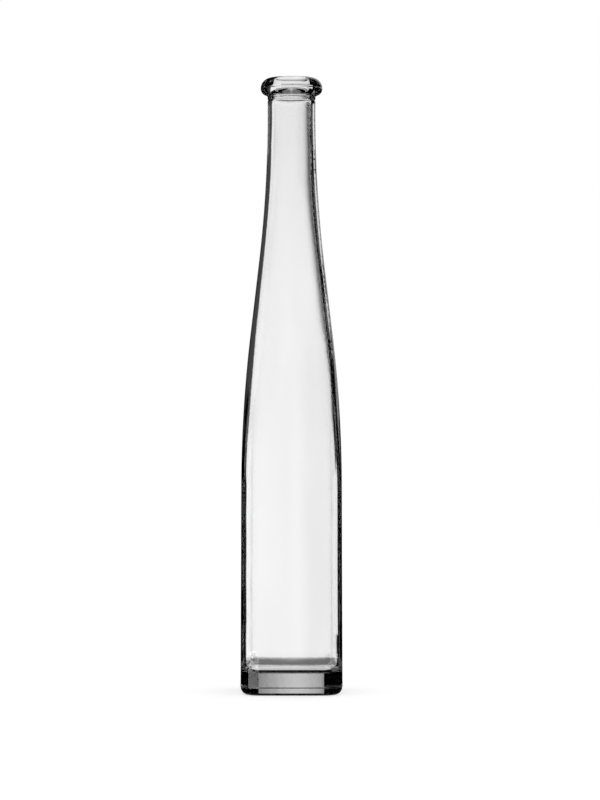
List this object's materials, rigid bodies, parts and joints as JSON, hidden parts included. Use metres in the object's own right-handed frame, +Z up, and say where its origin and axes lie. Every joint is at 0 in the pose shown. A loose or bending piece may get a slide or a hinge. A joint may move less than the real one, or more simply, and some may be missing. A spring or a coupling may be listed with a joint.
{
  "type": "glass bottle",
  "caption": "Slim empty clear-glass mini bottle with a square body, rounded corners, a long shoulder and a round neck with a ring lip; stands on its foot and holds a single serving of drink.",
  "frame": {"origin": "middle of the bottle's square foot, on the plane it stands on", "axes": "+Z up the bottle from its foot to its mouth, its longest way; +X and +Y square to its flat sides"},
  "size_m": [0.0424, 0.0424, 0.255],
  "materials": {
    "clear_glass": "clear polished glass"
  },
  "bodies": {
    "root": {"bottle": "clear_glass"}
  },
  "joints": []
}
